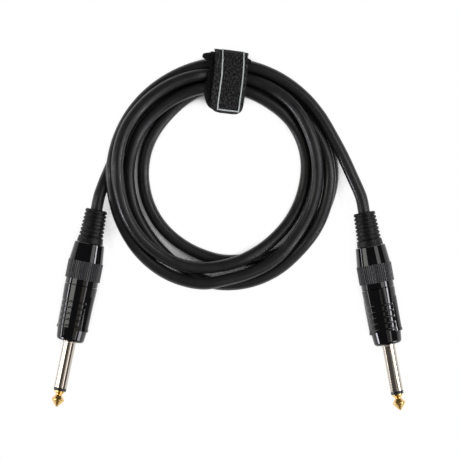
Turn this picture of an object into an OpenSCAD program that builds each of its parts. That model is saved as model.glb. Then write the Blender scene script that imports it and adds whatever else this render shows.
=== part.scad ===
// Instrument cable: a coiled jacketed lead with a 6.35 mm two-pole plug at each end,
// held by a hook-and-loop tie. It lies flat: +Z is up and the floor is at z = 0.
// Along each plug, "s" runs from the cable end of the boot (s = 0) to the tip.

/* [Cable] */
// Outer diameter of the cable jacket
cable_d = 6; // [5.6:0.1:6.4]
// Diameter of the insulated core wire inside the plugs
core_d = 2.2; // [1.6:0.1:2.4]
// Diameter of the twisted shield pigtail inside the plugs
braid_d = 1.6; // [1.2:0.1:1.8]
// Radius of the coil at the middle of its bundle
coil_r = 48.5; // [46:0.25:51]
// Distance between neighbouring strands in the coil
strand_pitch = 6.5; // [6.2:0.1:6.8]

/* [Plug finger] */
// Diameter of the sleeve and of the widest part of the tip
finger_d = 6.35; // [6.2:0.05:6.5]
// Exposed length of the sleeve
sleeve_len = 23.1; // [20:0.1:26]
// Width of the insulating ring between sleeve and tip
ring_len = 1.5; // [1:0.1:2.5]
// Length of the tip beyond the insulating ring
tip_len = 8.2; // [7:0.1:10]
// Diameter of the neck behind the tip's head
tip_neck_d = 3; // [2.6:0.1:3.6]
// Diameter of the tip's rod, which runs back to its solder lug
rod_d = 2; // [1.6:0.1:2.4]
// Outer diameter of the insulating tube round the rod
tube_d = 3.6; // [3.2:0.1:4]

/* [Plug shell] */
// Length of the shell
shell_len = 28.4; // [28.4:0.2:33]
// Diameter of the shell at its rear end
shell_rear_d = 16.6; // [15.8:0.1:17]
// Diameter of the shell behind its rounded nose
shell_nose_d = 14; // [13.6:0.1:15]
// Bore of the shell over the solder lugs
shell_bore_d = 11.8; // [11.6:0.1:12.2]
// Thickness of the shell's front wall
nose_wall = 3; // [2:0.25:4]
// Radius of the rounded nose
nose_round = 1.8; // [0.5:0.1:2.4]
// Number of shallow grooves round the shell
groove_count = 5; // [1:1:6]
// Distance between the grooves
groove_pitch = 3; // [2.4:0.1:3.2]
// Depth of the grooves
groove_depth = 0.25; // [0.1:0.05:0.5]
// Radius of the bulging grip cheeks
cheek_r = 5.4; // [5.2:0.05:5.8]
// Length of the grip cheeks
cheek_len = 18.4; // [14:0.2:19.4]

/* [Screw-on bushing] */
// Length of the tapered collar
collar_len = 9.3; // [8:0.1:12]
// Diameter of the collar at its cable end
collar_rear_d = 15; // [14.4:0.1:15.2]
// Diameter of the collar beside the grip ring
collar_front_d = 17; // [16.4:0.1:17.2]
// Length of the knurled grip ring
grip_len = 9.2; // [7:0.1:12]
// Diameter over the knurls
grip_d = 17.6; // [17.4:0.1:18.4]
// Number of knurls round the grip ring
knurl_count = 54; // [36:1:60]
// Depth of the knurls
knurl_depth = 0.3; // [0.2:0.05:0.4]
// Length of the neck between grip ring and shell
neck_len = 3; // [2:0.1:4]
// Diameter of the neck
neck_d = 16.3; // [16:0.1:16.8]
// Diameter of the screw thread that holds bushing and shell together
thread_d = 13.2; // [13:0.1:13.4]
// Length of the screw thread
thread_len = 5; // [4:0.1:5.2]
// Pitch of the screw thread
thread_pitch = 1; // [0.75:0.25:1]

/* [Boot] */
// Length of the boot outside the bushing
boot_len = 17.2; // [16:0.2:20]
// Diameter of the boot at its cable end
boot_tail_d = 10.8; // [10.4:0.1:11.4]
// Diameter of the boot where it meets the bushing
boot_base_d = 13.2; // [12.8:0.1:13.6]
// Number of grooves round the boot
boot_groove_count = 7; // [3:1:7]
// Distance between the boot's grooves
boot_groove_pitch = 1.92; // [1.6:0.02:1.92]
// Depth of the boot's grooves
boot_groove_depth = 0.6; // [0.3:0.05:0.8]
// Diameter of the neck that passes through the bushing's rear wall
boot_neck_d = 10.8; // [10.4:0.1:11]
// Diameter of the flange trapped inside the bushing
boot_flange_d = 12.2; // [11.8:0.1:12.4]
// Thickness of that flange
boot_flange_t = 2; // [1.5:0.1:2.5]

/* [Cable clamp] */
// Diameter of the chuck's straight part
chuck_d = 10.4; // [10:0.1:10.6]
// Diameter of the chuck's narrow tail
chuck_tail_d = 8.2; // [7.8:0.1:9]
// Length of the chuck's tapered jaws
jaw_len = 9; // [7:0.2:10]
// Width of the slots between the jaws
jaw_slot = 0.9; // [0.6:0.1:1.4]
// Thickness of the chuck's front flange
chuck_flange_t = 1.5; // [1:0.1:1.6]

/* [Solder lugs] */
// Diameter of the boss that fills the hole in the shell's nose
boss_d = 7.2; // [6.8:0.1:8]
// Length of boss that shows in front of the shell
boss_proud = 0.6; // [0.3:0.1:1.5]
// Diameter of the sleeve's base inside the shell
base_d = 11.2; // [10.8:0.1:11.4]
// Thickness of the sleeve's base
base_t = 2.5; // [2:0.1:3]
// Thickness of the sheet metal of both lugs
lug_t = 0.6; // [0.4:0.05:0.8]
// Diameter of the round ground lug
ground_lug_d = 10.4; // [10:0.1:10.6]
// Thickness of the insulating washer between the lugs
washer_t = 1.2; // [0.8:0.1:1.5]
// Diameter of that washer
washer_d = 7.8; // [7:0.1:8]
// Diameter of the round tip lug
tip_lug_d = 5.8; // [5.4:0.1:6.4]
// Length of the tip lug's solder tongue
tongue_len = 5; // [4:0.1:5.4]
// Width of the ground lug's tongue
ground_tongue_w = 4; // [3:0.1:4.4]
// Length of the ground lug's crimp round the jacket
crimp_len = 3.4; // [2:0.1:3.6]

/* [Cable tie] */
// Width of the tie's strap
strap_w = 16.4; // [12:0.2:20]
// Thickness of one layer of strap
strap_t = 1; // [0.8:0.05:1.3]
// Outer length of the loop across the bundle
loop_len = 28.8; // [28:0.2:34]
// Radius of the loop's rounded ends
loop_round = 5; // [4.5:0.1:5.4]
// Distance from the coil's centre to the middle of the loop
tie_r = 46.8; // [46.4:0.1:48]
// How far the loop's layer sits to the left of the layer over it
layer_shift = 2.2; // [0:0.1:4]
// Thickness of the hook patch under the flap
hook_t = 0.3; // [0.2:0.05:0.5]
// Length of the hook patch
hook_len = 12; // [8:0.5:14]
// Thickness of the woven label
label_t = 0.3; // [0.2:0.05:0.5]
// Width of the woven label
label_w = 12; // [8:0.5:13]

/* [Layout] */
// Where the left boot ends, seen from above
left_boot_at = [-66, 9.5];
// Where the right boot ends, seen from above
right_boot_at = [67.7, 8.15];
// How far the left plug points outwards from -Y, in degrees
left_splay = 11.5; // [8:0.5:15]
// How far the right plug points outwards from -Y, in degrees
right_splay = 10.4; // [8:0.4:15]
// How far the left plug is rolled round its axis, in degrees
left_roll = 30; // [0:1:90]
// How far the right plug is rolled round its axis, in degrees
right_roll = 15; // [0:1:90]
// Centre of the coil, seen from above
coil_at = [-2.3, 26.3];
// Place of the tie round the coil, in degrees clockwise from +Y
tie_angle = 2.5; // [-10:0.5:10]
// How far the tie is twisted across the bundle, in degrees
tie_twist = 5; // [0:0.5:8]

/* [Hidden] */
// Radial clearance of pieces that fit into each other
fit_gap = 0.05;
// Clearance between pieces that move past each other
run_gap = 0.2;
// Gap that is left where two pieces of different bodies meet end to end
seat_gap = 0.1;
// Clearance of the soft pieces
soft_gap = 0.3;
$fn = 64;

// Stations along a plug
s_bushing = boot_len;
s_grip = s_bushing + collar_len;
s_neck = s_grip + grip_len;
s_shell = s_neck + neck_len;
s_thread_end = s_shell + thread_len;
s_front = s_shell + shell_len;
s_wall = s_front - nose_wall;
s_boss = s_front + boss_proud;
s_ring = s_boss + sleeve_len;
s_tip = s_ring + ring_len;
s_base = s_wall - seat_gap - base_t;
s_ground_lug = s_base - lug_t;
s_washer = s_ground_lug - washer_t;
s_tip_lug = s_washer - lug_t;
s_tongue = s_tip_lug - tongue_len;
s_jacket = s_tongue - 1.4;
s_crimp = s_jacket - 1.2 - crimp_len;
s_cable_end = 5;
// The cable runs straight out of the boot this far, so that the boot can slide back over it.
straight_len = thread_len + 2;

// The boot's trapped flange and the bushing's rear wall
bushing_wall = 2;
s_flange = s_bushing + bushing_wall + run_gap;
s_cavity_end = s_flange + boot_flange_t + run_gap;
grip_core_d = grip_d - 2 * knurl_depth - 1.6;

// The chuck
s_chuck_flange = s_thread_end + seat_gap;
s_chuck_end = s_chuck_flange + chuck_flange_t;
s_jaw_end = s_neck - 1;
s_tail = s_jaw_end - jaw_len;

// Height of the plugs' axes: they lie on their grip rings
axis_h = grip_d / 2;

// The coil: two layers of strands, lifted by one strap layer
coil_bottom = strap_t + soft_gap;
strand_rise = 0.9 * cable_d;
coil_top = coil_bottom + cable_d + strand_rise;

// The tie's loop across the bundle, and the layer over it
loop_h = coil_top + soft_gap + strap_t;
loop_half = loop_len / 2 - loop_round;
layer_gap = soft_gap + hook_t;
flap_bottom = loop_h + layer_gap;
label_shift = 1.3;

// Where the cable is not coiled: from each boot to where it joins the coil.
left_route = [
    [-63.3, 20.2, 8.2], [-61.7, 24.6, 7], [-60, 28.6, 5.7], [-58.1, 32.9, 4.5], [-55.7, 37.6, 3.6],
    [-52.9, 42.4, 3.2]];
right_route = [
    [65.1, 18.7, 8.8], [63.3, 22.7, 8.9], [61.3, 27.1, 9.1], [59, 32.2, 9.4], [56.6, 37.2, 9.5], [53.5, 43, 9.5],
    [48.6, 52, 9.5]];

// ---- Placing ----------------------------------------------------------------

// Puts a plug that is drawn along +Z, with +Y up, at the left or right boot.
module at_left() {
    translate([left_boot_at.x, left_boot_at.y, axis_h])
        rotate([90, 0, -left_splay]) rotate([0, 0, left_roll]) children();
}

module at_right() {
    translate([right_boot_at.x, right_boot_at.y, axis_h])
        rotate([90, 0, right_splay]) rotate([0, 0, right_roll]) children();
}

// A point on a plug's axis, at station s
function on_axis(boot, turn, s) = [boot.x + s * sin(turn), boot.y - s * cos(turn), axis_h];

// Puts a piece of the tie, drawn with its strap's length along Y, at its place on the coil.
module at_tie() {
    translate([coil_at.x, coil_at.y, 0]) rotate([0, 0, -tie_angle])
        translate([0, tie_r, 0]) rotate([0, 0, -tie_twist]) children();
}

// ---- Shapes that repeat -----------------------------------------------------

// A round bar or tube between two stations
module bar(d, from, to, bore = 0) {
    difference() {
        translate([0, 0, from]) cylinder(d = d, h = to - from);
        if (bore > 0) translate([0, 0, from - 1]) cylinder(d = bore, h = to - from + 2);
    }
}

function unit(v) = v / norm(v);

// A tube swept along points, with one ring of corners at each point. It never runs along "level".
module swept_tube(points, d, sides, level = [0, 0, 1]) {
    last = len(points) - 1;
    rings = [for (i = [0 : last])
        let (along = unit(points[min(i + 1, last)] - points[max(i - 1, 0)]),
             side = unit(cross(along, level)),
             up = cross(side, along))
        for (k = [0 : sides - 1])
            points[i] + d / 2 * (cos(360 * k / sides) * side + sin(360 * k / sides) * up)];
    walls = [for (i = [0 : last - 1], k = [0 : sides - 1])
        let (a = i * sides + k, b = i * sides + (k + 1) % sides)
        each [[a, b, b + sides], [a, b + sides, a + sides]]];
    start_cap = [for (k = [sides - 1 : -1 : 0]) k];
    end_cap = [for (k = [0 : sides - 1]) last * sides + k];
    polyhedron(points = rings, faces = concat(walls, [start_cap, end_cap]), convexity = 6);
}

// Points of an arc from angle a to angle b
function arc(x, y, r, a, b, steps) =
    [for (i = [0 : steps]) let (t = a + (b - a) * i / steps) [x + r * cos(t), y + r * sin(t)]];

// A turned piece, from an outline of [radius, station] points
module turned(outline) {
    rotate_extrude() polygon(outline);
}

// ---- Finger and lugs --------------------------------------------------------

module tip() {
    head_r = finger_d / 2 - 0.02;
    neck_r = tip_neck_d / 2;
    nose_r = 0.7;
    s_end = s_tip + tip_len;
    rivet_t = 0.8;
    color("goldenrod") turned(concat([
        [0, s_tip_lug - rivet_t], [rod_d / 2 + 0.6, s_tip_lug - rivet_t], [rod_d / 2 + 0.8, s_tip_lug - 0.3],
        [rod_d / 2 + 0.8, s_tip_lug], [rod_d / 2, s_tip_lug],
        [rod_d / 2, s_tip], [neck_r + 1, s_tip], [neck_r + 1, s_tip + 0.8],
        [neck_r, s_tip + 0.2 * tip_len], [neck_r, s_tip + 0.25 * tip_len],
        [head_r - 0.25, s_tip + 0.5 * tip_len], [head_r, s_tip + 0.53 * tip_len],
        [head_r, s_tip + 0.58 * tip_len], [head_r - 0.25, s_tip + 0.62 * tip_len]],
        arc(0, s_end - nose_r, nose_r, 40, 90, 4)));
}

module tip_insulator() {
    color("black") bar(finger_d - 0.04, s_ring, s_tip, rod_d + 2 * fit_gap);
}

module sleeve() {
    edge = 0.25;
    bore_r = tube_d / 2 + fit_gap;
    color("silver") turned([
        [bore_r, s_base], [base_d / 2 - edge, s_base], [base_d / 2, s_base + edge],
        [base_d / 2, s_base + base_t - edge], [base_d / 2 - edge, s_base + base_t],
        [boss_d / 2, s_base + base_t], [boss_d / 2, s_boss - edge], [boss_d / 2 - edge, s_boss],
        [finger_d / 2, s_boss], [finger_d / 2, s_ring], [bore_r, s_ring]]);
}

module inner_tube() {
    color("ivory") bar(tube_d, s_ground_lug, s_ring, rod_d + 2 * fit_gap);
}

module ground_lug() {
    tongue_y = ground_lug_d / 2 - 0.5 - lug_t;
    crimp_r = cable_d / 2 + fit_gap;
    color("silver") {
        bar(ground_lug_d, s_ground_lug, s_base, tube_d + 2 * fit_gap);
        // Tongue back along the cable
        translate([-ground_tongue_w / 2, -tongue_y - lug_t, s_crimp + crimp_len])
            cube([ground_tongue_w, lug_t, s_ground_lug + lug_t / 2 - s_crimp - crimp_len]);
        // Step up to the crimp
        translate([-ground_tongue_w / 2, -tongue_y - lug_t, s_crimp + crimp_len - lug_t])
            cube([ground_tongue_w, tongue_y + lug_t - crimp_r, 2 * lug_t]);
        // Crimp: a trough round the lower half of the jacket, with two ears
        difference() {
            bar(2 * (crimp_r + lug_t), s_crimp, s_crimp + crimp_len, 2 * crimp_r);
            translate([-crimp_r - 1, crimp_r * 0.45, s_crimp - 1])
                cube([2 * crimp_r + 2, crimp_r + 1, crimp_len + 2]);
        }
    }
}

module lug_washer() {
    color("peru") bar(washer_d, s_washer, s_ground_lug, rod_d + 2 * fit_gap);
}

module tip_lug() {
    tongue_w = 2.4;
    hole_d = 1;
    color("silver") {
        bar(tip_lug_d, s_tip_lug, s_washer, rod_d + 2 * fit_gap);
        difference() {
            translate([-tongue_w / 2, tip_lug_d / 2 - lug_t - 0.2, s_tongue])
                cube([tongue_w, lug_t, tongue_len + lug_t / 2]);
            translate([0, 0, s_tongue + hole_d]) rotate([-90, 0, 0]) cylinder(d = hole_d, h = tip_lug_d);
        }
    }
}

// The core wire rises from the jacket's end to the underside of the tip lug's tongue.
module core_wire() {
    start_y = cable_d / 2 - core_d / 2 - 1.2;
    end_y = tip_lug_d / 2 - lug_t - 0.2 - core_d / 2;
    color("white") swept_tube([
        [0, start_y, s_jacket], [0, start_y, s_jacket + 0.6], [0, end_y, s_tongue + 1.2],
        [0, end_y, s_tongue + tongue_len - 1.6]], core_d, 10, [1, 0, 0]);
}

// The shield's twisted end drops from the jacket's end onto the ground lug's tongue.
module shield_pigtail() {
    start_y = -cable_d / 2 + braid_d / 2 + 0.3;
    end_y = -(ground_lug_d / 2 - 0.5 - lug_t) + braid_d / 2;
    color("chocolate") swept_tube([
        [0, start_y, s_jacket], [0, start_y, s_jacket + 0.5], [0, end_y, s_jacket + 3],
        [0, end_y, s_jacket + 6]], braid_d, 8, [1, 0, 0]);
}

// The end of the jacket inside the plug, from inside the boot to where it is stripped
module cable_end() {
    color("#2c2c2c") bar(cable_d, s_cable_end, s_jacket);
}

// ---- Chuck, shell, bushing and boot -----------------------------------------

module chuck() {
    jaws = 4;
    color("whitesmoke") difference() {
        turned([
            [cable_d / 2 + fit_gap, s_tail], [chuck_tail_d / 2, s_tail], [chuck_d / 2, s_jaw_end],
            [chuck_d / 2, s_chuck_flange], [thread_d / 2 - 0.3, s_chuck_flange],
            [thread_d / 2 - 0.3, s_chuck_end], [cable_d / 2 + fit_gap, s_chuck_end]]);
        for (k = [0 : jaws / 2 - 1]) rotate([0, 0, 360 / jaws * k + 45])
            translate([-jaw_slot / 2, -chuck_d, s_tail - 1]) cube([jaw_slot, 2 * chuck_d, jaw_len + 2]);
    }
}

// Radius of the shell's outside at station s: a gentle taper, steeper near the nose
s_waist = s_shell + 0.76 * shell_len;
waist_drop = 0.75;
function shell_r(s) = s < s_waist
    ? shell_rear_d / 2 - waist_drop * (s - s_shell) / (s_waist - s_shell)
    : shell_rear_d / 2 - waist_drop
        - (shell_rear_d / 2 - waist_drop - shell_nose_d / 2) * (s - s_waist) / (s_front - nose_round - s_waist);

module shell() {
    edge = 0.2;
    groove_w = 0.5;
    s_groove = s_shell + 8.5;
    seat_d = thread_d + 2 * fit_gap;
    color("#101012") difference() {
        union() {
            turned(concat(
                [[boss_d / 2 - 1, s_shell], [shell_rear_d / 2 - edge, s_shell],
                 [shell_rear_d / 2, s_shell + edge]],
                [for (i = [0 : groove_count - 1]) let (s = s_groove + i * groove_pitch) each [
                    [shell_r(s - groove_w), s - groove_w], [shell_r(s) - groove_depth, s - groove_w / 4],
                    [shell_r(s) - groove_depth, s + groove_w / 4], [shell_r(s + groove_w), s + groove_w]]],
                [[shell_r(s_waist), s_waist]],
                arc(shell_nose_d / 2 - nose_round, s_front - nose_round, nose_round, 0, 90, 6),
                [[boss_d / 2 - 1, s_front]]));
            for (side = [0, 180]) rotate([0, 0, side]) cheek();
        }
        // Screw thread and the chuck's seat
        translate([0, 0, s_shell - 1]) cylinder(d = seat_d, h = s_chuck_end + run_gap - s_shell + 1);
        // Room for the lugs
        translate([0, 0, s_shell]) cylinder(d = shell_bore_d, h = s_wall - s_shell);
        // Hole for the sleeve's boss
        translate([0, 0, s_wall - 1]) cylinder(d = boss_d + 2 * fit_gap, h = nose_wall + 2);
    }
}

// One bulging grip cheek, with a ramp at its rear and a raised lip at its front
module cheek() {
    offset_x = 3;
    ramp = 1.2;
    lip_len = 1.4;
    lip = 0.25;
    s_cheek = s_shell + 3.9;
    s_lip = s_cheek + cheek_len - lip_len;
    translate([offset_x, 0, s_cheek]) cylinder(r1 = cheek_r - 0.6, r2 = cheek_r, h = ramp);
    translate([offset_x, 0, s_cheek + ramp]) cylinder(r1 = cheek_r, r2 = cheek_r - 0.15, h = s_lip - s_cheek - ramp);
    translate([offset_x, 0, s_lip]) cylinder(r = cheek_r - 0.15 + lip, h = lip_len);
}

module bushing() {
    chuck_room = 2 * run_gap;
    core_r = grip_core_d / 2;
    color("#101012") difference() {
        turned(concat(
            [[0, s_bushing], [collar_rear_d / 2 - 0.3, s_bushing], [collar_rear_d / 2, s_bushing + 0.3],
             [collar_front_d / 2, s_grip], [core_r, s_grip], [core_r, s_neck],
             [neck_d / 2, s_neck], [neck_d / 2, s_shell - seat_gap - 0.2], [neck_d / 2 - 0.2, s_shell - seat_gap]],
            thread_outline(),
            [[0, s_thread_end]]));
        // Hole for the boot's neck, room for its flange, and the way to the chuck
        translate([0, 0, s_bushing - 1]) cylinder(d = boot_neck_d + 2 * run_gap, h = s_cavity_end - s_bushing);
        translate([0, 0, s_flange - run_gap]) cylinder(d = boot_flange_d + 2 * run_gap, h = boot_flange_t + 2 * run_gap);
        translate([0, 0, s_bushing]) cylinder(d = chuck_tail_d + chuck_room, h = s_tail - s_bushing + 0.001);
        // Cone that squeezes the jaws, then the straight bore round the chuck
        translate([0, 0, s_tail]) cylinder(d1 = chuck_tail_d + chuck_room, d2 = chuck_d + chuck_room, h = jaw_len);
        translate([0, 0, s_jaw_end - 0.001]) cylinder(d = chuck_d + chuck_room, h = s_thread_end - s_jaw_end + 1);
    }
}

// The bushing's screw thread, drawn as one ring per turn
function thread_outline() =
    let (crest = thread_d / 2, root = crest - 0.35 * thread_pitch, turns = floor((thread_len - 0.5) / thread_pitch))
    concat(
        [[root, s_shell - seat_gap]],
        [for (i = [0 : turns - 1]) let (s = s_shell + 0.3 + i * thread_pitch) each [
            [root, s], [crest, s + 0.35 * thread_pitch], [crest, s + 0.5 * thread_pitch],
            [root, s + 0.85 * thread_pitch]]],
        [[root, s_thread_end]]);

module grip_ring() {
    root_r = grip_d / 2 - knurl_depth;
    pitch_angle = 360 / knurl_count;
    color("#3a3a3e") difference() {
        translate([0, 0, s_grip]) linear_extrude(height = grip_len)
            polygon([for (i = [0 : knurl_count - 1]) let (a = i * pitch_angle) each [
                [root_r * cos(a), root_r * sin(a)],
                [grip_d / 2 * cos(a + 0.35 * pitch_angle), grip_d / 2 * sin(a + 0.35 * pitch_angle)],
                [grip_d / 2 * cos(a + 0.65 * pitch_angle), grip_d / 2 * sin(a + 0.65 * pitch_angle)]]]);
        translate([0, 0, s_grip - 1]) cylinder(d = grip_core_d + 2 * fit_gap, h = grip_len + 2);
    }
}

module boot() {
    s_groove = 1.95;
    groove_w = 0.42;
    tail_r = boot_tail_d / 2;
    base_r = boot_base_d / 2;
    rib_start = tail_r + 0.05;
    rib_end = base_r - 0.35;
    function rib_r(s) = rib_start + (rib_end - rib_start) * s / boot_len;
    color("#1c1c1c") difference() {
        turned(concat(
            [[0, 0], [tail_r - 0.5, 0], [tail_r, 0.5]],
            [for (i = [0 : boot_groove_count - 1]) let (s = s_groove + i * boot_groove_pitch) each [
                [rib_r(s), s - groove_w], [rib_r(s) - boot_groove_depth, s - groove_w / 2],
                [rib_r(s) - boot_groove_depth, s + groove_w / 2], [rib_r(s), s + groove_w]]],
            [[rib_end, boot_len - 3], [base_r, s_bushing - seat_gap],
             [boot_neck_d / 2, s_bushing - seat_gap], [boot_neck_d / 2, s_flange],
             [boot_flange_d / 2, s_flange], [boot_flange_d / 2, s_flange + boot_flange_t],
             [0, s_flange + boot_flange_t]]));
        translate([0, 0, -1]) cylinder(d = cable_d + 2 * soft_gap, h = s_flange + boot_flange_t + 2);
    }
}

// ---- Cable ------------------------------------------------------------------

// The coil's outer shape: two layers of three strands, filled between them
module cable_coil() {
    low = coil_bottom + cable_d / 2;
    fill = 1.2;
    color("#2c2c2c") translate([coil_at.x, coil_at.y, 0]) rotate_extrude() {
        for (k = [-1 : 1], z = [low, low + strand_rise])
            translate([coil_r + k * strand_pitch, z]) circle(d = cable_d);
        translate([coil_r - strand_pitch, low - fill]) square([2 * strand_pitch, strand_rise + 2 * fill]);
    }
}

module left_lead() {
    color("#2c2c2c") swept_tube(concat(
        [on_axis(left_boot_at, -left_splay, s_cable_end), on_axis(left_boot_at, -left_splay, -straight_len)],
        left_route), cable_d, 12);
}

module right_lead() {
    color("#2c2c2c") swept_tube(concat(
        [on_axis(right_boot_at, right_splay, s_cable_end), on_axis(right_boot_at, right_splay, -straight_len)],
        right_route), cable_d, 12);
}

// ---- Tie --------------------------------------------------------------------

// The loop's outer form, a box with rounded ends, grown by g on every side and w wide
module loop_solid(g, w) {
    r = loop_round + g;
    translate([-w / 2, 0, 0]) {
        for (y = [-loop_half, loop_half], z = [loop_round, loop_h - loop_round])
            translate([0, y, z]) rotate([0, 90, 0]) cylinder(r = r, h = w);
        translate([0, -loop_half, -g]) cube([w, 2 * loop_half, loop_h + 2 * g]);
        translate([0, -loop_half - r, loop_round]) cube([w, 2 * (loop_half + r), loop_h - 2 * loop_round]);
    }
}

// One layer round the loop, from g outside it to g + t outside it
module loop_layer(g, t, w) {
    difference() {
        loop_solid(g + t, w);
        loop_solid(g, w + 2);
    }
}

module tie_loop() {
    color("#1a1a1a") at_tie() translate([-layer_shift, 0, 0]) loop_layer(-strap_t, strap_t, strap_w);
}

// The second layer of strap, round the loop's outer end up to the fold where the flap begins
module tie_outer_layer() {
    color("#1a1a1a") at_tie() intersection() {
        loop_layer(layer_gap, strap_t, strap_w);
        translate([-strap_w, loop_half + soft_gap, loop_round]) cube([2 * strap_w, loop_len, 2 * loop_h]);
    }
}

// What the flap covers: the loop's top and the upper half of its rounded inner end
module flap_reach() {
    z_edge = loop_h - loop_round + (loop_round + layer_gap) * sin(40);
    translate([-strap_w, -loop_len, z_edge]) cube([2 * strap_w, loop_len + loop_half - strap_t / 2, loop_h]);
}

// The flap lies on the loop, and its root is rounded about the fold.
module tie_flap() {
    color("#1a1a1a") at_tie() union() {
        intersection() {
            loop_layer(layer_gap, strap_t, strap_w);
            flap_reach();
        }
        translate([-strap_w / 2, loop_half - strap_t / 2, flap_bottom + strap_t / 2])
            rotate([0, 90, 0]) cylinder(d = strap_t, h = strap_w);
    }
}

module tie_hook_patch() {
    color("#303030") at_tie()
        translate([-strap_w / 2 + 1, -loop_half, loop_h + soft_gap]) cube([strap_w - 2, hook_len, hook_t]);
}

module tie_label() {
    color("#0c0c0c") at_tie() translate([label_shift, 0, 0]) intersection() {
        loop_layer(layer_gap + strap_t, label_t, label_w);
        flap_reach();
    }
}

// ---- Parts ------------------------------------------------------------------

at_left() tip();  // left_tip
at_left() tip_insulator();  // left_tip_insulator
at_left() sleeve();  // left_sleeve
at_left() inner_tube();  // left_inner_tube
at_left() ground_lug();  // left_ground_lug
at_left() lug_washer();  // left_lug_washer
at_left() tip_lug();  // left_tip_lug
at_left() core_wire();  // left_core_wire
at_left() shield_pigtail();  // left_shield_pigtail
at_left() cable_end();  // left_cable_end
at_left() chuck();  // left_chuck
at_left() shell();  // left_shell
at_left() bushing();  // left_bushing
at_left() grip_ring();  // left_grip_ring
at_left() boot();  // left_boot
at_right() tip();  // right_tip
at_right() tip_insulator();  // right_tip_insulator
at_right() sleeve();  // right_sleeve
at_right() inner_tube();  // right_inner_tube
at_right() ground_lug();  // right_ground_lug
at_right() lug_washer();  // right_lug_washer
at_right() tip_lug();  // right_tip_lug
at_right() core_wire();  // right_core_wire
at_right() shield_pigtail();  // right_shield_pigtail
at_right() cable_end();  // right_cable_end
at_right() chuck();  // right_chuck
at_right() shell();  // right_shell
at_right() bushing();  // right_bushing
at_right() grip_ring();  // right_grip_ring
at_right() boot();  // right_boot
cable_coil();
left_lead();
right_lead();
tie_loop();
tie_outer_layer();
tie_flap();
tie_hook_patch();
tie_label();
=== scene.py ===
"""Dresses a coiled instrument cable: its cord, its two plugs and its hook-and-loop tie."""

import math
import random

import bmesh
import bpy
import numpy as np
from bpy.props import FloatProperty, FloatVectorProperty, IntProperty, PointerProperty
from mathutils import Matrix, Vector, noise


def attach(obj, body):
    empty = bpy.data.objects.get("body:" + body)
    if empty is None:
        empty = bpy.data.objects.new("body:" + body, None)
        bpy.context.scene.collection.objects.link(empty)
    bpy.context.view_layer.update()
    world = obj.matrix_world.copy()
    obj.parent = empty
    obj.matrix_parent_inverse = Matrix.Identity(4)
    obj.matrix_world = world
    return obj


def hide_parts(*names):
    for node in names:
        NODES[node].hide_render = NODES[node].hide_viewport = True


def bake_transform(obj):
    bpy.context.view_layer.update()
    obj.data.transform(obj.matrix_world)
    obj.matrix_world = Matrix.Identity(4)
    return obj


bl_info = {
    "name": "Instrument cable",
    "version": (1, 0, 0),
    "blender": (4, 5, 0),
    "location": "3D View > Sidebar > Cable",
    "description": "Lays the cord, dresses the plugs and wraps the tie of an instrument cable",
    "category": "Object",
}

MM = 0.001
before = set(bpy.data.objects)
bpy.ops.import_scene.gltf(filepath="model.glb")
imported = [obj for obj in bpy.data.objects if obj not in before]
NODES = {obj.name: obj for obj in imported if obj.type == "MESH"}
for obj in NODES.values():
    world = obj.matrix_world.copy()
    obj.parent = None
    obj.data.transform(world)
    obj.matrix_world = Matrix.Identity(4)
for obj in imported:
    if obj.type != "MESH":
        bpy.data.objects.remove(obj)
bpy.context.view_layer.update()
SIDES = ("left", "right")

# The plugs: where each boot's mouth is, how many degrees the plug points off -Y, how far into the boot
# the cord is drawn, and how far it runs straight on outside it.
BOOT_AT = {"left": (-66, 9.5, 8.8), "right": (67.7, 8.15, 8.8)}
SPLAY = {"left": -11.5, "right": 10.4}
CORD_INSIDE = 5
STRAIGHT_LEN = 7

# The cord's route between each boot and the coil, in millimetres.
RIGHT_ROUTE = [
    (65.1, 18.7, 8.8), (63.3, 22.7, 8.9), (61.3, 27.1, 9.1), (59, 32.2, 9.4), (56.6, 37.2, 9.5),
    (53.5, 43, 9.5), (48.6, 52, 9.5),
]
LEFT_ROUTE = [
    (-63.3, 20.2, 8.2), (-61.7, 24.6, 7), (-60, 28.6, 5.7), (-58.1, 32.9, 4.5), (-55.7, 37.6, 3.6),
    (-52.9, 42.4, 3.2),
]

# The coil: its centre, and where each turn is laid, as (angle, distance from the centre, height) in
# degrees and millimetres.
COIL_AT = (-2.3, 26.6)
FIRST_TURN = [
    (45, 56.1, 9.5), (65, 55.9, 9.5), (90, 55.9, 9.6), (120, 55.6, 9), (145, 55.8, 9.2), (160, 55.9, 9.8),
    (172, 56, 10.8), (184, 56.1, 11.6), (195, 56.2, 9.4), (208, 56.5, 5.2), (225, 57, 3.2), (240, 56.8, 4.5),
    (250, 56.1, 7), (260, 54.9, 9), (270, 52.4, 9), (280, 51, 8.8), (300, 49.3, 9.2), (320, 47.1, 11),
    (340, 46.6, 10.5),
]
SECOND_TURN = [
    (0, 46.8, 10.5), (15, 47.3, 11.5), (30, 48.1, 10), (45, 49.2, 9.4), (60, 49.6, 9.3), (80, 49.9, 9),
    (100, 51.5, 10), (120, 52.7, 12), (140, 53.7, 14), (155, 54.2, 14.6), (170, 53.7, 14), (185, 52.9, 11.5),
    (203, 52.5, 9.5), (218, 51.9, 9.2), (232, 50.8, 9), (250, 48.6, 9), (265, 45.8, 8), (280, 43.4, 8.8),
    (295, 41.5, 7), (310, 40.3, 4), (330, 40, 3), (350, 40.5, 3),
]
THIRD_TURN = [
    (15, 42.2, 3), (35, 43, 4.5), (60, 42.8, 8.6), (85, 43.9, 9.3), (105, 44.9, 9.2), (120, 45.5, 8.6),
    (135, 46.4, 6.8), (150, 47.8, 4), (170, 47.9, 3), (200, 47.9, 3), (220, 48.4, 3), (235, 49.6, 3),
    (250, 51.7, 3), (263, 54, 3), (280, 54.7, 3), (300, 54.1, 4.5), (315, 53.1, 7.5), (330, 53.1, 9),
    (350, 52.9, 9),
]
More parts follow.
